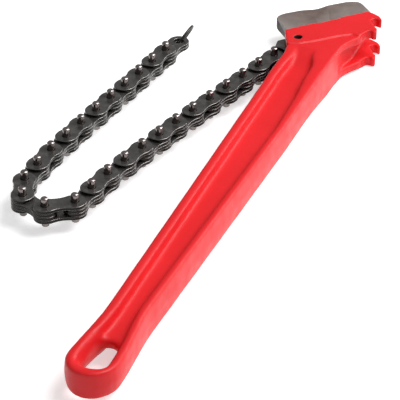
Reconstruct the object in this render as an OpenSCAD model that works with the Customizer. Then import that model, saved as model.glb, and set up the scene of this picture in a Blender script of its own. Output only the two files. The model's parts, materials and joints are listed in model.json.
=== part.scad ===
// Chain wrench: a cast handle with a forked head, a toothed jaw held between the cheeks,
// and a leaf chain that wraps a pipe and hooks back onto the head.
// Frame: +Y along the handle towards the head, +X to the hook side, +Z up along the pins.
// The origin lies on the lower cheek face, on the handle's centre line.

/* [Chain] */
// Distance between two chain pins
chain_pitch = 19.05; // [18.2:0.05:21]
// Width of a link plate across its round ends
plate_w = 15; // [12:0.5:16]
// Width of a link plate at its waist
plate_waist = 12.2; // [9:0.2:13]
// Thickness of one link plate
plate_t = 2.4; // [1.8:0.1:3]
// Side play between two neighbouring plates
plate_play = 0.06; // [0.04:0.01:0.2]
// Diameter of the chain pins
chain_pin_d = 5; // [4:0.1:6]
// Length of a chain pin beyond the outer plate, on each side
pin_stub = 5.6; // [4:0.1:6.5]
// Chamfer of the chain pins' peened ends
pin_chamfer = 0.8; // [0.3:0.1:1.2]
// Running clearance of a pin in a turning link, on the radius
pin_run = 0.05; // [0.03:0.01:0.1]
// Press clearance of a pin in the plates that hold it, on the radius
pin_press = 0.01; // [0.005:0.005:0.02]
// Diameter of the hole for the pull ring in the last link
end_hole_d = 7; // [6.8:0.1:8.6]

/* [Shackle] */
// Diameter of the anchor pin that ties the chain to the head
anchor_pin_d = 5.6; // [4.5:0.1:6.5]
// How far the anchor pin's ends lie below the cheek faces
anchor_pin_sink = 3.6; // [1:0.1:4.5]
// Radius of the shackle's boss round the anchor pin
shackle_boss_r = 8; // [7:0.1:9]
// Height of the shackle's shoulder above its axis
shackle_shoulder = 14; // [10:0.2:15]
// Distance from the anchor pin to the shoulder's end
shackle_reach = 9.6; // [8:0.1:10.4]
// Gap between the shackle and the round end of the first outer link
shackle_gap = 0.6; // [0.4:0.1:1.2]
// Side play of the shackle in the fork
shackle_play = 0.4; // [0.2:0.1:0.8]

/* [Pull ring] */
// Diameter of the ring on the middle of its wire
ring_d = 19; // [18:0.2:24]
// Diameter of the ring's wire
ring_wire = 2.2; // [1.6:0.1:2.6]
// Lean of the ring from upright
ring_lean = 30; // [0:1:31]
// Turn of the ring from the line of the last link
ring_turn = 6; // [-30:1:30]

/* [Handle] */
// Distance from the origin to the centre of the eye
eye_reach = 398; // [340:1:420]
// Width of the eye at the end of the handle
eye_d = 33.2; // [28:0.2:40]
// Width of the handle at its narrowest, beside the eye
throat_w = 24.6; // [20:0.2:28]
// Width of the handle at the neck
neck_w = 36.6; // [32:0.2:38]
// Distance from the eye's centre to that narrowest place
throat_run = 53; // [44:1:64]
// Thickness of the handle
grip_t = 22.2; // [19:0.2:23]
// How much thinner the eye is than the grip, on each face
eye_thin = 2.1; // [0.6:0.1:2.4]
// How much slimmer the left side is between the eye and the grip
eye_slim = 0.8; // [0:0.1:1.2]
// Thickness of the web between the two recesses
web_t = 9.8; // [8:0.2:12]
// Width of the rim round the recess
rim_w = 5; // [4.4:0.1:5.6]
// Shift of the recess from the handle's middle, towards the hooks
recess_shift = 0.6; // [0:0.1:1]
// Extra width of the grip on the hook side
swell = 0.8; // [0:0.1:1.4]
// Width of the recess's wall
wall_run = 3.4; // [2:0.1:4]
// Radius of the handle's edges
edge_r = 2; // [1:0.1:3]
// Draft of the handle's sides, from the parting line to the edge
side_draft = 0.7; // [0:0.1:1.2]
// Width of the hanging slot
slot_w = 13; // [10:0.5:14]
// Distance between the centres of the hanging slot's round ends
slot_run = 18.5; // [12:0.5:20]
// Distance from the eye's centre back to the far end of the hanging slot
slot_back = 23; // [18:0.5:26]

/* [Head] */
// Thickness of each cheek
cheek_t = 7; // [5:0.1:9]
// Gap beside the chain's plates in the fork, on each side
fork_play = 2.2; // [1.6:0.1:3]
// Step from the cheek face down to the neck
cheek_step = 1.2; // [0.6:0.1:2]
// Angle of the jaw and of the cheeks' upper edge to the X axis
jaw_angle = 43; // [38:1:48]
// Length of the cheeks' upper edge
cheek_len = 66.4; // [63:0.2:69]
// Rise of the cheeks' upper edge towards the hooks
cheek_rise = 3.6; // [2.4:0.1:4.6]
// Gap between a hooked chain pin and its seat, on the radius
seat_gap = 0.4; // [0.2:0.05:0.6]
// Width of the prong outside each hook seat
prong_w = 2; // [1.4:0.1:2.6]
// Lean of the line through the two hook seats from the handle's axis
hook_lean = 5.7; // [0:0.1:8]
// Distance from the cheeks' corner to the shallow relief in their upper edge
relief_from = 25.3; // [18:0.1:30]
// Length of that relief
relief_len = 18.3; // [10:0.1:22]
// Depth of that relief
relief_depth = 1.1; // [0.5:0.1:2]
// Distance from the centre line to the wall of the hooks' pocket
pocket_wall = 19.7; // [18.8:0.1:20.4]
// Radius of the pocket round the anchor pin
anchor_room = 18.2; // [17.6:0.1:19]

/* [Jaw] */
// Thickness of the jaw
jaw_t = 8.4; // [7:0.1:10]
// Length of the jaw
jaw_len = 67.4; // [62:0.2:70]
// Height of the jaw's toothed edge above the cheeks' corner
jaw_out = 40.1; // [36:0.1:42]
// Depth of the pipe dip in the middle of the jaw
jaw_dip = 2.3; // [1:0.1:4]
// Length of that dip
jaw_dip_len = 25; // [16:0.5:34]
// Distance from the cheeks' corner to the jaw's left end
jaw_inset = 8.8; // [8.6:0.1:11]
// Depth of the jaw's foot below the cheeks' corner
foot_depth = 3; // [2:0.1:4]
// Depth of the tang below the cheeks' upper edge
tang_depth = 14; // [12:0.2:15]
// Length of the tang
tang_len = 16.4; // [13:0.2:17]
// Side clearance of the jaw between the cheeks
jaw_fit = 0.05; // [0.02:0.01:0.2]
// Thickness of the plain land above and below the teeth
land_t = 0.9; // [0.4:0.1:1.6]
// How far the lands lie behind the teeth's tips
land_inset = 0.8; // [0.5:0.1:1.2]
// Distance between two teeth of the jaw
tooth_pitch = 2.75; // [2.2:0.05:4]
// Depth of the teeth
tooth_depth = 0.7; // [0.3:0.05:1]
// Diameter of the jaw's retaining pin
jaw_pin_d = 6; // [4:0.1:8]

/* [Hidden] */
$fn = 96;
sliver = 0.01;
// Pieces of the chain: outer links carry two pins each, inner links lie between them
outer_count = 13;
inner_count = outer_count - 1;
link_count = outer_count + inner_count + 2;
// Heading of the shackle and bend at each chain pin, in degrees, counterclockwise
first_heading = -131;
bends = [26, 0, 0, 0, 0, 1, 1, 0, 0, 2, 3, -1, -45, -54, -50, -22, -2, -4, 0, -1, 0, 0, 0, 1, -1, 0];
anchor = [-13.4, -17];

stack_t = 4 * plate_t + 3 * plate_play;
fork_gap = stack_t + 2 * fork_play;
head_t = fork_gap + 2 * cheek_t;
mid_z = head_t / 2;
plate_r = plate_w / 2;
inner_z = plate_play / 2;
outer_z = inner_z + plate_t + plate_play;
outer_top = outer_z + plate_t;
pin_len = 2 * (outer_top + pin_stub);

// How far the ring hangs out from the middle of its hole, against the hole's wall
ring_play = 0.32;
ring_rise = (inner_z + plate_t) / cos(ring_lean);
ring_hold = end_hole_d / 2 - ring_wire / 2 - ring_play;
ring_seat = sqrt(ring_hold * ring_hold - pow(ring_rise * sin(ring_lean), 2)) - ring_rise * ring_rise / ring_d;

// Handle stations along Y
eye_y = -eye_reach;
eye_r = eye_d / 2;
throat_y = eye_y + throat_run;
neck_y = -68;
ramp_y = -88;
core_y = -38;
block_y = -28;
loft_top_y = -22;
loft_sink = 0.08;
neck_waist = 16.3;
neck_flare = 0.14;
core_t = head_t - 2 * cheek_step;
recess_depth = (grip_t - web_t) / 2;
recess_end = eye_y - eye_r + rim_w + edge_r;
recess_top = -25;
recess_full = -52;
swell_end = -86;
swell_fade = 30;
// Wall of the recess from rim to floor, as shares of its width and of the recess's depth
wall_steps = [
    [0, 0], [0.24, 0.035], [0.41, 0.13], [0.5, 0.26],
    [0.74, 0.69], [0.85, 0.855], [1.09, 0.96], [1.47, 1]
];

// Head outline, from the cheeks' left corner
cheek_corner = [-25.7, -9.8];
neck_corner = [-18.3, -27.5];
// Step at the foot of the cheek band, from the neck towards the hooks
band_foot = [[-9.8, -24], [-3, -19], [6.2, -10.1], [12.5, -3.8]];
along = [cos(jaw_angle), sin(jaw_angle)];
out = [-sin(jaw_angle), cos(jaw_angle)];
seat_r = chain_pin_d / 2 + seat_gap;
horn = head_point(cheek_len, cheek_rise);
seat_1 = horn + [9.2, -11.7];
seat_2 = seat_1 + chain_pitch * [sin(hook_lean), -cos(hook_lean)];
// Inner corner of a hook's prong, as shares of its seat's radius
prong_root = [0.5, 0.65];
slot_left = [-22, -41.5];
slot_right = [24, -18.8];
beyond = 90;
web_left = -15;
pocket_foot = [17.2, -10];
pocket_bend = 3;
web_corner = [-20.9, 2.7];

// Jaw, in its own axes along and out of the cheeks' upper edge
jaw_gap = jaw_t + 2 * jaw_fit;
jaw_right = jaw_inset + jaw_len;
dip_mid = jaw_inset + 32.6;
jaw_foot = 6;
jaw_seat = 0.1;
jaw_pin_sink = 0.5;
jaw_pin_top = mid_z + jaw_t / 2 + 4;
foot_left = 19;
foot_right = 58;
foot_slope = 3;
tang_mid = 36.8;
tang_left = tang_mid - tang_len / 2;
// Rounded corners of the jaw, from its upper left and upper right corner
left_corner = [[0, -6.7], [0.6, -4.1], [2.2, -2.2], [5, -0.8]];
right_corner = [[-4.5, -1.3], [-1.4, -3.3], [-0.3, -5.9], [0, -9.6]];
left_run = 8.8;
right_run = 9.9;
// Slanted corner below the jaw's right end
low_corner = [12, 10];

function two_digits(i) = i < 10 ? str("0", i) : str(i);
function mix(a, b, t) = a + (b - a) * t;
function ease(t) = let (c = min(max(t, 0), 1)) c * c * (3 - 2 * c);
function head_point(u, v) = cheek_corner + u * along + v * out;

// Heading of link k and place of pin k, where link 0 is the shackle and pin 0 the anchor
function heading(k) = k == 0 ? first_heading : heading(k - 1) + bends[k - 1];
function pin_at(k) =
    k == 0 ? anchor : pin_at(k - 1) + chain_pitch * [cos(heading(k - 1)), sin(heading(k - 1))];

// Handle half widths, half thickness and recess depth at a place along Y
function grip_half(y) =
    y < eye_y ? sqrt(max(eye_r * eye_r - (y - eye_y) * (y - eye_y), 0)) :
    y < throat_y ? mix(throat_w / 2, eye_r, ease((throat_y - y) / (throat_y - eye_y))) :
    mix(throat_w, neck_w, min((y - throat_y) / (neck_y - throat_y), 1)) / 2;
function neck_share(y) = ease((y - neck_y) / (core_y - neck_y));
function eye_share(y) = min(max((throat_y - y) / throat_run, 0), 1);
function left_half(y) =
    mix(grip_half(y), neck_waist, neck_share(y)) + neck_flare * max(y - core_y, 0)
    - eye_slim * 4 * eye_share(y) * (1 - eye_share(y));
function half_t(y) =
    mix(grip_t / 2, core_t / 2 - loft_sink, ease((y - ramp_y) / (core_y - ramp_y)))
    - eye_thin * ease(eye_share(y));
function recess(y) =
    recess_depth * ease((y - recess_end) / rim_w) * ease((recess_top - y) / (recess_top - recess_full));
function edge_at(y) = mix(edge_r, edge_r / 4, neck_share(y));
function right_half(y) =
    grip_half(y) + swell * ease((y - eye_y) / throat_run) * ease((swell_end - y) / swell_fade);
function left_rim(y) = rim_w + recess_shift * (1 - neck_share(y));
function right_rim(y) = rim_w - recess_shift + 4.4 * ease((y + 110) / 50) + 6 * ease((y + 52) / 26);

// Left half of the upper side of a section, from the parting line to the middle
function section_side(y, half, rim_here) =
    let (
        fit = min(1, half / (rim_w + 2 * wall_run)),
        r = edge_at(y) * fit,
        draft = side_draft * fit * (1 - neck_share(y)),
        h = half_t(y),
        d = recess(y),
        run = wall_run * fit,
        rim = min(rim_here * fit, half - 1.5 * run - 0.4)
    )
    concat(
        [[half, 0]],
        [for (a = [0:30:90]) [half - draft - r + r * cos(a), h - r + r * sin(a)]],
        [for (w = wall_steps) [half - rim - run * w[0], h - d * w[1]]]
    );

// One closed section of the handle at y, counterclockwise seen from the butt
function section(y) =
    let (
        left = section_side(y, left_half(y), left_rim(y)),
        right = section_side(y, right_half(y), right_rim(y)),
        n = len(left),
        middle = half_t(y) - recess(y)
    )
    concat(
        [for (i = [0:n - 1]) [right[i][0], y, right[i][1]]],
        [[0, y, middle]],
        [for (i = [n - 1:-1:0]) [-left[i][0], y, left[i][1]]],
        [for (i = [1:n - 1]) [-left[i][0], y, -left[i][1]]],
        [[0, y, -middle]],
        [for (i = [n - 1:-1:1]) [right[i][0], y, -right[i][1]]]
    );

eye_stations = [for (a = [6, 14, 23, 33, 45, 58, 74]) eye_y - eye_r * cos(a)];
flare_stations = [for (i = [0:7]) mix(eye_y, throat_y, i / 8)];
grip_stations = [for (i = [0:5]) mix(throat_y, ramp_y, i / 6)];
neck_stations = [for (i = [0:9]) mix(ramp_y, core_y, i / 10)];
core_stations = [for (i = [0:4]) mix(core_y, loft_top_y, i / 4)];
stations = concat(eye_stations, flare_stations, grip_stations, neck_stations, core_stations);

// Skin through a list of sections that all have the same number of points
module loft(sections) {
    n = len(sections[0]);
    last = len(sections) - 1;
    skin = [
        for (s = [0:last - 1], i = [0:n - 1])
            let (j = (i + 1) % n, a = s * n + i, b = s * n + j)
            each [[a, b, a + n], [b, b + n, a + n]]
    ];
    start_mid = n * (last + 1);
    end_mid = start_mid + 1;
    start_cap = [for (i = [0:n - 1]) [start_mid, (i + 1) % n, i]];
    end_cap = [for (i = [0:n - 1]) [end_mid, last * n + i, last * n + (i + 1) % n]];
    mids = [[0, sections[0][0][1], 0], [0, sections[last][0][1], 0]];
    polyhedron(concat([for (s = sections) each s], mids), concat(start_cap, skin, end_cap));
}

// Plate of a given outline, centred on z
module slab(t, z = mid_z) {
    translate([0, 0, z - t / 2])
        linear_extrude(t)
            children();
}

// Cheek outline with its two hooks, above the step to the neck
module cheek_outline() {
    edge_angle = jaw_angle + atan(cheek_rise / cheek_len);
    hook_low = [seat_2[0] - seat_r, seat_2[1]];
    hook_high = [seat_1[0] - seat_r, seat_1[1]];
    difference() {
        polygon(concat([cheek_corner, neck_corner], band_foot, [
            [seat_2[0] - 11, seat_2[1] - 5.6],
            [seat_2[0] - 5.6, seat_2[1] - 5.8],
            hook_low,
            seat_2 + seat_r * prong_root,
            seat_2 + [seat_r + prong_w - 0.6, 2.5],
            seat_2 + [seat_r + prong_w - 0.8, 4.2],
            seat_2 + [seat_r + 0.4, 6.4],
            seat_2 + [seat_r, 8.4],
            hook_high + [6, -9.5],
            hook_high + [2.9, -4.9],
            hook_high + [1.1, -2.6],
            hook_high,
            seat_1 + seat_r * prong_root,
            seat_1 + [seat_r + prong_w - 0.6, 2.2],
            seat_1 + [seat_r + prong_w - 0.9, 3.6],
            seat_1 + [1.1, 7.5],
            seat_1 + [-4, 10.2],
            horn
        ]));
        translate(seat_1)
            circle(seat_r);
        translate(seat_2)
            circle(seat_r);
        translate(cheek_corner)
            rotate(edge_angle)
                translate([relief_from, -relief_depth])
                    square([relief_len, 2 * relief_depth]);
    }
}

// Neck block between the handle and the cheek band
module core_outline() {
    polygon([
        [-left_half(block_y) - loft_sink, block_y],
        [grip_half(block_y) + loft_sink, block_y],
        [18.5, -22.8],
        [19.2, -16],
        [20.8, -10.8],
        [23.4, -5.2],
        [26, -1],
        [27.4, 2.4],
        [20, 4],
        [0, -8.5],
        [-17.5, -25.2],
        [-19, -24]
    ]);
}

// Solid web of the casting between the two pockets
module web_outline() {
    difference() {
        polygon([
            [web_left, -beyond],
            [pocket_foot[0], -beyond],
            pocket_foot,
            [pocket_wall, pocket_bend],
            [pocket_wall, beyond],
            [web_corner[0], beyond],
            web_corner,
            [web_left, anchor[1]]
        ]);
        translate(anchor)
            circle(anchor_room);
    }
}

// Pockets between the cheeks: one for the shackle, one for the hooked chain
module pocket_outline() {
    difference() {
        polygon([
            slot_left,
            slot_right,
            [beyond, 0],
            [beyond, beyond],
            [-beyond, beyond],
            [-beyond, -beyond / 3]
        ]);
        web_outline();
    }
}

// Slot for the jaw's foot and tang, with a gap on all sides
module jaw_slot_outline() {
    translate(cheek_corner)
        rotate(jaw_angle)
            polygon(concat(
                [[-beyond, beyond], [-beyond, jaw_foot - jaw_seat]],
                foot_points(jaw_seat),
                [[beyond, jaw_foot - jaw_seat], [beyond, beyond]]
            ));
}

// Outline of the hanging slot
module slot_outline() {
    far = eye_y + slot_back - slot_w / 2;
    for (y = [far, far - slot_run])
        translate([0, y])
            circle(d = slot_w);
    translate([-slot_w / 2, far - slot_run])
        square([slot_w, slot_run]);
}

module handle() {
    color("crimson")
        difference() {
            union() {
                translate([0, 0, mid_z])
                    loft([for (y = stations) section(y)]);
                slab(core_t)
                    core_outline();
                slab(head_t)
                    cheek_outline();
            }
            slab(fork_gap)
                pocket_outline();
            slab(jaw_gap)
                jaw_slot_outline();
            translate([anchor[0], anchor[1], -1])
                cylinder(d = anchor_pin_d + 2 * pin_press, h = head_t + 2);
            jaw_pin_place()
                translate([0, 0, -1])
                    cylinder(d = jaw_pin_d + 2 * pin_press, h = jaw_pin_top + 1);
            slab(head_t)
                slot_outline();
        }
}

// Height of the toothed edge at a place along the jaw
function grip_edge(u) =
    jaw_out - (abs(u - dip_mid) < jaw_dip_len / 2
        ? jaw_dip * (1 + cos(360 * (u - dip_mid) / jaw_dip_len)) / 2
        : 0);

// Underside of the jaw with its foot and tang, from left to right, grown by a gap
function foot_points(gap) = [
    [foot_left - gap, jaw_foot - gap],
    [foot_left + foot_slope - gap, -foot_depth - gap],
    [tang_left - gap, -foot_depth - gap],
    [tang_left - gap, -tang_depth - gap],
    [tang_left + tang_len + gap, -tang_depth - gap],
    [tang_left + tang_len + gap, -foot_depth - gap],
    [foot_right - foot_slope + gap, -foot_depth - gap],
    [foot_right + gap, jaw_foot - gap]
];

// Side view of the jaw, with the points of its upper edge given and its corners sunk by a drop
module jaw_outline(edge, drop) {
    top = jaw_out - drop;
    polygon(concat(
        [[jaw_inset, jaw_foot]],
        [for (c = left_corner) [jaw_inset + c[0], top + c[1]]],
        edge,
        [for (c = right_corner) [jaw_right + c[0], top + c[1]]],
        [[jaw_right, jaw_foot + low_corner[1]], [jaw_right - low_corner[0], jaw_foot]],
        [for (i = [7:-1:0]) foot_points(0)[i]]
    ));
}

module jaw() {
    first = jaw_inset + left_run;
    row = jaw_len - left_run - right_run;
    count = floor(row / tooth_pitch);
    step = row / count;
    lands = [for (i = [0:count]) [first + i * step, grip_edge(first + i * step) - land_inset]];
    teeth = [
        for (i = [0:count])
            let (u = first + i * step)
            each [[u, grip_edge(u)], [u + step / 2, grip_edge(u + step / 2) - tooth_depth]]
    ];
    color("dimgray")
        translate([cheek_corner[0], cheek_corner[1], 0])
            rotate(jaw_angle)
                difference() {
                    union() {
                        slab(jaw_t)
                            jaw_outline(lands, land_inset);
                        slab(jaw_t - 2 * land_t)
                            jaw_outline(teeth, 0);
                    }
                    translate([tang_mid, -tang_depth / 2, mid_z - jaw_t])
                        cylinder(d = jaw_pin_d + 2 * pin_press, h = 2 * jaw_t);
                }
}

module jaw_pin_place() {
    translate([cheek_corner[0], cheek_corner[1], 0])
        rotate(jaw_angle)
            translate([tang_mid, -tang_depth / 2, 0])
                children();
}

module jaw_pin() {
    color("gray")
        jaw_pin_place()
            translate([0, 0, jaw_pin_sink])
                cylinder(d = jaw_pin_d, h = jaw_pin_top - jaw_pin_sink);
}

// Round pin along Z with chamfered ends, centred on the chain's middle plane
module round_pin(d, length, chamfer) {
    translate([0, 0, mid_z])
        rotate_extrude()
            polygon([
                [0, -length / 2],
                [d / 2 - chamfer, -length / 2],
                [d / 2, -length / 2 + chamfer],
                [d / 2, length / 2 - chamfer],
                [d / 2 - chamfer, length / 2],
                [0, length / 2]
            ]);
}

module anchor_pin() {
    color("gray")
        translate(anchor)
            round_pin(anchor_pin_d, head_t - 2 * anchor_pin_sink, pin_chamfer / 2);
}

// Places children on link k, with its first pin at the origin and its second along +X
module on_link(k) {
    translate(pin_at(k))
        rotate(heading(k))
            children();
}

// Forged shackle: a thick body on the anchor pin and a tongue for the first chain pin
module shackle() {
    body_t = fork_gap - 2 * shackle_play;
    tongue_t = 2 * (inner_z + plate_t);
    clear_r = plate_r + shackle_gap;
    bore = anchor_pin_d + 2 * pin_run;
    color("#3c3a39")
        on_link(0)
            difference() {
                union() {
                    slab(body_t)
                        difference() {
                            union() {
                                circle(shackle_boss_r);
                                polygon([
                                    [0, shackle_boss_r],
                                    [-shackle_boss_r + 2, 0],
                                    [-shackle_boss_r + 3, -shackle_shoulder + 3],
                                    [-shackle_boss_r + 6, -shackle_shoulder],
                                    [shackle_reach - 1, -shackle_shoulder],
                                    [shackle_reach, -shackle_shoulder + 1],
                                    [chain_pitch - 4, -plate_r + 1],
                                    [chain_pitch - 4, plate_r - 1]
                                ]);
                            }
                            translate([chain_pitch, 0])
                                circle(clear_r);
                        }
                    slab(tongue_t) {
                        translate([chain_pitch, 0])
                            circle(plate_r);
                        translate([0, -plate_r])
                            square([chain_pitch, plate_w]);
                    }
                }
                translate([0, 0, mid_z - body_t])
                    cylinder(d = bore, h = 2 * body_t);
                translate([chain_pitch, 0, mid_z - body_t])
                    cylinder(d = chain_pin_d + 2 * pin_run, h = 2 * body_t);
            }
}

// Waisted link plate with two bores, lying from z upwards
module link_plate(z, bore, far_bore) {
    waist_cut = plate_r - plate_waist / 2;
    half_span = chain_pitch / 2 - plate_r * 0.35;
    waist_r = (half_span * half_span + waist_cut * waist_cut) / (2 * waist_cut);
    translate([0, 0, mid_z + z])
        linear_extrude(plate_t)
            difference() {
                union() {
                    for (x = [0, chain_pitch])
                        translate([x, 0])
                            circle(plate_r);
                    translate([0, -plate_r])
                        square([chain_pitch, plate_w]);
                }
                for (side = [-1, 1])
                    translate([chain_pitch / 2, side * (plate_waist / 2 + waist_r)])
                        circle(waist_r);
                circle(d = bore);
                translate([chain_pitch, 0])
                    circle(d = far_bore);
            }
}

module outer_link(i) {
    bore = chain_pin_d + 2 * pin_press;
    color("#45423f")
        on_link(2 * i - 1)
            for (z = [outer_z, -outer_z - plate_t])
                link_plate(z, bore, bore);
}

module link_pins(i) {
    color("#8a7c74")
        on_link(2 * i - 1)
            for (x = [0, chain_pitch])
                translate([x, 0])
                    round_pin(chain_pin_d, pin_len, pin_chamfer);
}

module inner_link(i) {
    bore = chain_pin_d + 2 * pin_run;
    color("#45423f")
        on_link(2 * i)
            for (z = [inner_z, -inner_z - plate_t])
                link_plate(z, bore, bore);
}

module end_link() {
    color("#45423f")
        on_link(link_count - 1)
            for (z = [inner_z, -inner_z - plate_t])
                link_plate(z, chain_pin_d + 2 * pin_run, end_hole_d);
}

module pull_ring() {
    color("#5a5654")
        on_link(link_count - 1)
            translate([chain_pitch, 0, mid_z])
                rotate(ring_turn)
                    rotate([90 + ring_lean, 0, 0])
                        translate([ring_d / 2 + ring_seat, 0, 0])
                            rotate_extrude()
                                translate([ring_d / 2, 0])
                                    circle(d = ring_wire, $fn = 48);
}

handle();
jaw();
jaw_pin();
anchor_pin();
shackle();
for (i = [1:outer_count]) {
    outer_link(i);
    link_pins(i);
}
for (i = [1:inner_count])
    inner_link(i);
end_link();
pull_ring();
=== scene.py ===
import json
import math

import bpy
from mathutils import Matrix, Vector


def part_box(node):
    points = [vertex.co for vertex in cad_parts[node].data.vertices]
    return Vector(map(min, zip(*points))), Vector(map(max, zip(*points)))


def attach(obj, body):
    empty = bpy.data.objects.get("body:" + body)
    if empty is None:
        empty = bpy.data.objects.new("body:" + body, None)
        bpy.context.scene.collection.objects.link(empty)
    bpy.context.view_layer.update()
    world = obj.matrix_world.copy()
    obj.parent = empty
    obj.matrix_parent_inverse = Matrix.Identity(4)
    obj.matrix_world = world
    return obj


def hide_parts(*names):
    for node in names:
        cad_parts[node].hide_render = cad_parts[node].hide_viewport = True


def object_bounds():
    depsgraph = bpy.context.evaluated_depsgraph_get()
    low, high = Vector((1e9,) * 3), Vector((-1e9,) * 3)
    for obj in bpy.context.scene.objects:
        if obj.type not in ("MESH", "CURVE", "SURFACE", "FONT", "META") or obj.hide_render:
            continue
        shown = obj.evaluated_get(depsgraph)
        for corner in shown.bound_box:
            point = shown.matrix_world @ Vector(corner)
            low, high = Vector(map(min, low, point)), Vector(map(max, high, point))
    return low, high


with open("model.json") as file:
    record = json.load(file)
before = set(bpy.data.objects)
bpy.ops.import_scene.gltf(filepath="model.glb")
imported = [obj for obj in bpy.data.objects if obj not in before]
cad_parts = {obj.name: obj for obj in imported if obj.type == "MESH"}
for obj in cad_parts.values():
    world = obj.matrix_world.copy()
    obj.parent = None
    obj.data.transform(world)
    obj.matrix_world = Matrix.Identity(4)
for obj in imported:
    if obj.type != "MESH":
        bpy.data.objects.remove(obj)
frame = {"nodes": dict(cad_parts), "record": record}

cad_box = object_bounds()
nodes = frame["nodes"]
mounts = {mount["name"]: Vector(mount["pos_m"]) for mount in frame["record"]["mounts"]}
scene = bpy.context.scene
scene.view_settings.view_transform = "Standard"

# Lengths and places are in metres, apart from the camera's lens and sensor, which are in millimetres

# Camera, at the photograph's viewing angle, with its angles in degrees
CAMERA_PLACE = (0.3673, -1.1692, 0.6800)
CAMERA_ELEVATION = 33.06
CAMERA_AZIMUTH = 21.536
CAMERA_LENS = 175.8
SENSOR_WIDTH = 36

# Casting: its grain of modelling, its rounds of smoothing, and the places that are rounded further
VOXEL = 0.0008
CAST_ROUNDS = 4
GRIP_ROUNDS = 18
GRIP_TOP = -0.022
GRIP_FADE = 0.026
POCKET_ROUNDS = 24
POCKET_X = (0.002, 0.024)
POCKET_Y = (-0.028, 0.014)
POCKET_HALF_HEIGHT = 0.0095
POCKET_FADE = 0.003
SLOT_ROUNDS = 60
SLOT_RADIUS = 0.0065
SLOT_HALF_RUN = 0.00925
SLOT_REACH = 0.0045
SLOT_FADE = 0.002
# How far past the anchor hole's radius the painted shade in the hole reaches
ANCHOR_SHADE_MARGIN = 0.0002

# Rounded edges of the chain's plates and of the pins
PLATE_EDGE = 0.0007
PIN_EDGE = 0.0002
HARD_ANGLE = math.radians(32)
FLAT_ANGLE = math.radians(0.5)
SAME_CORNER = 0.00001

# Floor and light
FLOOR_HALF = 6
FLOOR_DROP = 0.0005
FLOOR_GLOW = 0.55
ROOM_LIGHT = 0.26
LIT_SPOT = Vector((-0.04, -0.15, 0))


class Graph:
    """A small helper that adds nodes to a material and links them."""

    def __init__(self, name):
        self.material = bpy.data.materials.new(name)
        self.material.use_nodes = True
        self.tree = self.material.node_tree
        self.shader = self.tree.nodes["Principled BSDF"]

    def add(self, kind, **values):
        node = self.tree.nodes.new(kind)
        for key, value in values.items():
            setattr(node, key, value)
        return node

    def link(self, source, target):
        self.tree.links.new(source, target)

    def fix(self, name, value):
        """Sets what is the same all over the surface on the shader itself."""
        self.shader.inputs[name].default_value = value

    def coordinates(self, kind="Object"):
        return self.add("ShaderNodeTexCoord").outputs[kind]

    def noise(self, scale, detail=3.0, roughness=0.55, stretch=None):
        node = self.add("ShaderNodeTexNoise")
        node.inputs["Scale"].default_value = scale
        node.inputs["Detail"].default_value = detail
        node.inputs["Roughness"].default_value = roughness
        place = self.coordinates()
        if stretch:
            mapping = self.add("ShaderNodeMapping")
            mapping.inputs["Scale"].default_value = stretch
            self.link(place, mapping.inputs["Vector"])
            place = mapping.outputs["Vector"]
        self.link(place, node.inputs["Vector"])
        return node.outputs["Fac"]

    def ramp(self, source, stops):
        node = self.add("ShaderNodeValToRGB")
        elements = node.color_ramp.elements
        while len(elements) < len(stops):
            elements.new(0.5)
        for element, (place, colour) in zip(elements, stops):
            element.position = place
            element.color = (*colour, 1)
        self.link(source, node.inputs["Fac"])
        return node.outputs["Color"]

    def spread(self, source, low, high, start=0.3, end=0.7):
        """Maps the source from start and end to low and high."""
        node = self.add("ShaderNodeMapRange")
        node.inputs["From Min"].default_value = start
        node.inputs["From Max"].default_value = end
        node.inputs["To Min"].default_value = low
        node.inputs["To Max"].default_value = high
        self.link(source, node.inputs["Value"])
        return node.outputs["Result"]

    def mix(self, factor, first, second):
        """The first colour where the factor is 0, the second where it is 1."""
        node = self.add("ShaderNodeMix", data_type="RGBA")
        for socket, value in (("Factor", factor), ("A", first), ("B", second)):
            target = [i for i in node.inputs if i.name == socket and i.enabled][0]
            if isinstance(value, tuple):
                target.default_value = (*value, 1)
            else:
                self.link(value, target)
        return [o for o in node.outputs if o.enabled][0]

    def bump(self, height, strength, distance, below=None):
        node = self.add("ShaderNodeBump")
        node.inputs["Strength"].default_value = strength
        node.inputs["Distance"].default_value = distance
        self.link(height, node.inputs["Height"])
        if below is not None:
            self.link(below, node.inputs["Normal"])
        return node.outputs["Normal"]

    def edges(self, start, end):
        """0 on flat stretches, 1 on sharp outer edges."""
        geometry = self.add("ShaderNodeNewGeometry")
        return self.spread(geometry.outputs["Pointiness"], 0, 1, start, end)

    def uprightness(self):
        """How squarely the surface faces along the pins, from 0 to 1."""
        parts = self.add("ShaderNodeSeparateXYZ")
        self.link(self.coordinates("Normal"), parts.inputs[0])
        size = self.add("ShaderNodeMath", operation="ABSOLUTE")
        self.link(parts.outputs["Z"], size.inputs[0])
        return size.outputs[0]

    def faces(self):
        """1 on the flat faces square to the pins, 0 on the cut sides."""
        return self.spread(self.uprightness(), 0, 1, 0.55, 0.95)

    def rims(self):
        """1 on the rounded edges between the faces and the cut sides."""
        black = (0, 0, 0)
        white = (1, 1, 1)
        stops = [(0.18, black), (0.40, white), (0.86, white), (0.97, black)]
        return self.ramp(self.uprightness(), stops)

    def bore(self, centre, radius, blur=0.0004):
        """1 inside an upright round hole, 0 outside it."""
        flat = self.add("ShaderNodeVectorMath", operation="MULTIPLY")
        flat.inputs[1].default_value = (1, 1, 0)
        self.link(self.coordinates(), flat.inputs[0])
        reach = self.add("ShaderNodeVectorMath", operation="DISTANCE")
        reach.inputs[1].default_value = (centre.x, centre.y, 0)
        self.link(flat.outputs["Vector"], reach.inputs[0])
        return self.spread(reach.outputs["Value"], 1, 0, radius, radius + blur)

    def finish(self, colour, roughness, normal):
        self.link(colour, self.shader.inputs["Base Color"])
        self.link(roughness, self.shader.inputs["Roughness"])
        self.link(normal, self.shader.inputs["Normal"])
        return self.material


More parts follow.
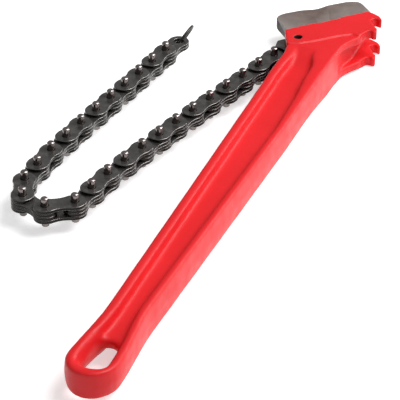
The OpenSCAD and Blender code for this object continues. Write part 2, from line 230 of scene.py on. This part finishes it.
def enamel():
    """Semi-gloss red enamel on a sand casting, with a painted highlight on the edges and painted shade in
    the anchor hole.
    """
    deep = (0.76, 0.010, 0.014)
    bright = (0.82, 0.014, 0.019)
    # Paler red for the painted highlight on the edges
    painted_edge_highlight = (0.90, 0.050, 0.054)
    # Near-black red for the painted shade inside the anchor hole
    painted_hole_shade = (0.045, 0.016, 0.014)
    low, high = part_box("anchor_pin")
    g = Graph("red_enamel")
    tone = g.ramp(g.noise(22, 4), [(0.30, deep), (0.70, bright)])
    # Paler red on the convex edges: a painted highlight
    tone = g.mix(g.edges(0.52, 0.60), tone, painted_edge_highlight)
    # Painted shade in the recessed anchor hole
    tone = g.mix(g.bore((low + high) / 2, (high.x - low.x) / 2 + ANCHOR_SHADE_MARGIN), tone, painted_hole_shade)
    peel = g.bump(g.noise(330, 2, 0.5), 0.16, 0.0006)
    sand = g.bump(g.noise(1500, 3, 0.6), 0.14, 0.0003, peel)
    g.fix("Coat Weight", 0.08)
    g.fix("Coat Roughness", 0.25)
    g.fix("Specular IOR Level", 0.30)
    return g.finish(tone, g.spread(g.noise(120), 0.40, 0.54), sand)


def dark_steel():
    """Glossy oil-darkened steel of the chain plates, with painted shade on the sheared sides and worn
    edges that carry a painted highlight.
    """
    dark = (0.110, 0.106, 0.102)
    middle = (0.175, 0.168, 0.161)
    light = (0.260, 0.248, 0.236)
    # Near-black for the painted shade on the sides
    shaded_cut = (0.011, 0.0105, 0.010)
    wear_and_highlight = (0.17, 0.162, 0.155)
    g = Graph("dark_oiled_steel")
    cloud = g.noise(160, 5, 0.6)
    tone = g.ramp(cloud, [(0.28, dark), (0.52, middle), (0.74, light)])
    # The sides are painted far darker than the faces: painted shade
    tone = g.mix(g.faces(), shaded_cut, tone)
    # Lighter rounded edges: rubbed wear with a painted highlight
    tone = g.mix(g.rims(), tone, wear_and_highlight)
    waves = g.bump(cloud, 0.18, 0.0004)
    scratches = g.bump(g.noise(900, 2, 0.5, stretch=(1, 0.12, 1)), 0.10, 0.0002, waves)
    g.fix("Metallic", 0.8)
    g.fix("Specular IOR Level", 0.32)
    return g.finish(tone, g.spread(g.noise(420), 0.18, 0.30), scratches)


def pin_steel():
    """Bare steel of the pins, warm grey with hammer marks on the peened ends and smooth sides; the sides
    are painted darker than the ends as shade, and the rims carry wear with a painted highlight.
    """
    dark = (0.250, 0.212, 0.206)
    light = (0.410, 0.352, 0.342)
    # Darker grey for the painted shade on the pins' sides
    shaded_pin_side = (0.190, 0.163, 0.158)
    wear_and_highlight = (0.34, 0.305, 0.295)
    g = Graph("peened_pin_steel")
    tone = g.ramp(g.noise(320, 4, 0.6), [(0.30, dark), (0.70, light)])
    # The sides are painted darker than the ends: painted shade on the sides, painted light on the ends
    tone = g.mix(g.faces(), shaded_pin_side, tone)
    # Lighter rounded rims: rubbed wear with a painted highlight
    tone = g.mix(g.rims(), tone, wear_and_highlight)
    dents = g.bump(g.noise(760, 2, 0.5), 0.18, 0.0004)
    g.fix("Metallic", 1.0)
    return g.finish(tone, g.spread(g.faces(), 0.13, 0.34, 0, 1), dents)


def jaw_steel():
    """Matte heat-treated steel of the jaw, blotched grey with brown scale, with painted shade on the
    sides and worn edges that carry a painted highlight.
    """
    dark = (0.143, 0.104, 0.090)
    middle = (0.210, 0.154, 0.136)
    light = (0.276, 0.210, 0.187)
    # Near-black for the painted shade on the sides
    shaded_cut = (0.022, 0.018, 0.016)
    wear_and_highlight = (0.42, 0.40, 0.38)
    g = Graph("matte_jaw_steel")
    tone = g.ramp(g.noise(70, 5, 0.6), [(0.28, dark), (0.52, middle), (0.75, light)])
    # The sides are painted far darker than the faces: painted shade
    tone = g.mix(g.faces(), shaded_cut, tone)
    # Lighter edges: rubbed wear with a painted highlight
    tone = g.mix(g.edges(0.53, 0.63), tone, wear_and_highlight)
    waves = g.bump(g.noise(260), 0.15, 0.0005)
    grain = g.bump(g.noise(1300, 3, 0.6), 0.16, 0.0002, waves)
    g.fix("Metallic", 0.35)
    g.fix("Specular IOR Level", 0.32)
    return g.finish(tone, g.spread(g.noise(300), 0.46, 0.62), grain)


def wire_steel():
    """Drawn wire of the pull ring, dark and mottled."""
    dark = (0.042, 0.039, 0.037)
    light = (0.088, 0.082, 0.078)
    g = Graph("drawn_wire")
    mottle = g.noise(500, 3, 0.5)
    tone = g.ramp(mottle, [(0.30, dark), (0.70, light)])
    g.fix("Metallic", 0.7)
    return g.finish(tone, g.spread(mottle, 0.30, 0.44), g.bump(mottle, 0.12, 0.0002))


def pale_floor():
    """Pale floor that shows as white to the camera and in reflections, and keeps the shadows."""
    g = Graph("pale_floor")
    tone = g.ramp(g.noise(40, 2), [(0.3, (0.93, 0.93, 0.93)), (0.7, (0.95, 0.95, 0.95))])
    path = g.add("ShaderNodeLightPath")
    seen = path.outputs["Is Camera Ray"]
    for kind in ("Is Glossy Ray", "Is Transmission Ray"):
        either = g.add("ShaderNodeMath", operation="MAXIMUM")
        g.link(seen, either.inputs[0])
        g.link(path.outputs[kind], either.inputs[1])
        seen = either.outputs[0]
    g.link(tone, g.shader.inputs["Base Color"])
    g.link(tone, g.shader.inputs["Emission Color"])
    g.link(g.spread(seen, 0, FLOOR_GLOW, 0, 1), g.shader.inputs["Emission Strength"])
    g.fix("Roughness", 0.8)
    return g.material


def dress(obj, material):
    obj.data.materials.clear()
    obj.data.materials.append(material)
    for polygon in obj.data.polygons:
        polygon.use_smooth = True


def join_corners(obj):
    """Joins the corners that are split at the hard edges."""
    weld = obj.modifiers.new("weld", "WELD")
    weld.merge_threshold = SAME_CORNER


def join_faces(obj):
    """Joins the small faces that lie in one plane."""
    flat = obj.modifiers.new("flatten", "DECIMATE")
    flat.decimate_type = "DISSOLVE"
    flat.angle_limit = FLAT_ANGLE


def even_shading(obj):
    """Lets large faces set the shading where they meet small ones, so that they look flat."""
    normals = obj.modifiers.new("normals", "WEIGHTED_NORMAL")
    normals.keep_sharp = True


def soften(obj, width, segments=2):
    """Rounds the hard edges of a CAD node for the looks, and leaves its mesh as it is."""
    join_corners(obj)
    join_faces(obj)
    bevel = obj.modifiers.new("edge", "BEVEL")
    bevel.width = width
    bevel.segments = segments
    bevel.limit_method = "ANGLE"
    bevel.angle_limit = HARD_ANGLE
    bevel.use_clamp_overlap = False
    bevel.harden_normals = False
    even_shading(obj)


def smooth(obj, rounds, group=""):
    modifier = obj.modifiers.new("smooth", "SMOOTH")
    modifier.factor = 0.5
    modifier.iterations = rounds
    modifier.vertex_group = group


def settle(obj):
    """Turns the object's modifiers into its own new mesh."""
    graph = bpy.context.evaluated_depsgraph_get()
    final = bpy.data.meshes.new_from_object(obj.evaluated_get(graph))
    obj.modifiers.clear()
    obj.data = final
    final.name = obj.name


def cast_copy(source, name):
    """A copy of a CAD solid with the soft edges and fillets of a sand casting."""
    obj = bpy.data.objects.new(name, source.data.copy())
    scene.collection.objects.link(obj)
    join_corners(obj)
    remesh = obj.modifiers.new("remesh", "REMESH")
    remesh.mode = "VOXEL"
    remesh.voxel_size = VOXEL
    smooth(obj, CAST_ROUNDS)
    settle(obj)
    return obj


def round_further(obj, share, rounds):
    """Rounds the casting further where the share of a place is more than 0."""
    group = obj.vertex_groups.new(name="share")
    for vertex in obj.data.vertices:
        weight = share(vertex.co)
        if weight > 0:
            group.add([vertex.index], weight, "REPLACE")
    smooth(obj, rounds, group.name)
    settle(obj)
    obj.vertex_groups.clear()


def fade(distance, run):
    """Rises from 0 to 1 as the distance goes from 0 to the run."""
    return min(max(distance / run, 0), 1)


def inside(value, ends):
    """Distance from a value to the nearer of two ends, below 0 outside them."""
    return min(value - ends[0], ends[1] - value)


def grip_share(place):
    """1 along the grip, falling to 0 at the head."""
    return fade(GRIP_TOP - place.y, GRIP_FADE)


def pocket_share(place):
    """1 inside the hook pocket between the cheeks, falling to 0 around it."""
    middle_z = (cad_box[0].z + cad_box[1].z) / 2
    high = POCKET_HALF_HEIGHT - abs(place.z - middle_z)
    return fade(min(inside(place.x, POCKET_X), inside(place.y, POCKET_Y), high), POCKET_FADE)


def slot_share(place):
    """1 at the wall of the hanging slot, falling to 0 around it."""
    offset = place - mounts["hang_slot"]
    past_end = max(abs(offset.y) - SLOT_HALF_RUN, 0)
    from_wall = math.hypot(offset.x, past_end) - SLOT_RADIUS
    return fade(SLOT_REACH - from_wall, SLOT_FADE)


def aim_lamp(name, place, size, power):
    data = bpy.data.lights.new(name, "AREA")
    data.shape = "SQUARE"
    data.size = size
    data.energy = power
    obj = bpy.data.objects.new(name, data)
    obj.location = place
    obj.rotation_euler = (LIT_SPOT - Vector(place)).to_track_quat("-Z", "Y").to_euler()
    scene.collection.objects.link(obj)


# Camera
camera_data = bpy.data.cameras.new("camera")
camera_data.sensor_width = SENSOR_WIDTH
camera_data.lens = CAMERA_LENS
camera_data.clip_start = 0.05
camera_data.clip_end = 20
camera = bpy.data.objects.new("camera", camera_data)
camera.location = CAMERA_PLACE
camera.rotation_euler = (math.radians(90 - CAMERA_ELEVATION), 0, math.radians(CAMERA_AZIMUTH))
scene.collection.objects.link(camera)
scene.camera = camera

# Cast handle
handle = cast_copy(nodes["handle"], "cast_handle")
round_further(handle, grip_share, GRIP_ROUNDS)
round_further(handle, pocket_share, POCKET_ROUNDS)
round_further(handle, slot_share, SLOT_ROUNDS)
dress(handle, enamel())
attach(handle, "handle_body")
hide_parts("handle")

# Steel pieces
plate = dark_steel()
pin = pin_steel()
for name, obj in nodes.items():
    if name == "handle":
        continue
    if name == "jaw":
        dress(obj, jaw_steel())
        join_faces(obj)
        even_shading(obj)
    elif name in ("jaw_pin", "anchor_pin") or name.startswith("link_pins"):
        dress(obj, pin)
        soften(obj, PIN_EDGE)
    elif name == "pull_ring":
        dress(obj, wire_steel())
    else:
        dress(obj, plate)
        soften(obj, PLATE_EDGE, segments=3)

# Floor, just under the object
corners = [(x * FLOOR_HALF, y * FLOOR_HALF, 0) for x, y in ((-1, -1), (1, -1), (1, 1), (-1, 1))]
floor_mesh = bpy.data.meshes.new("floor")
floor_mesh.from_pydata(corners, [], [(0, 1, 2, 3)])
floor_mesh.materials.append(pale_floor())
floor = bpy.data.objects.new("floor", floor_mesh)
floor.location = (0, 0, cad_box[0].z - FLOOR_DROP)
scene.collection.objects.link(floor)

# Soft studio light: an even white room, a wide lamp high on the right and a low one at the back
world = bpy.data.worlds.new("studio")
scene.world = world
world.use_nodes = True
room = world.node_tree.nodes["Background"]
room.inputs["Color"].default_value = (1, 1, 1, 1)
room.inputs["Strength"].default_value = ROOM_LIGHT
aim_lamp("right", place=(0.81, 0.25, 1.47), size=1.2, power=30)
aim_lamp("back", place=(0.90, 1.10, 0.54), size=0.6, power=6)
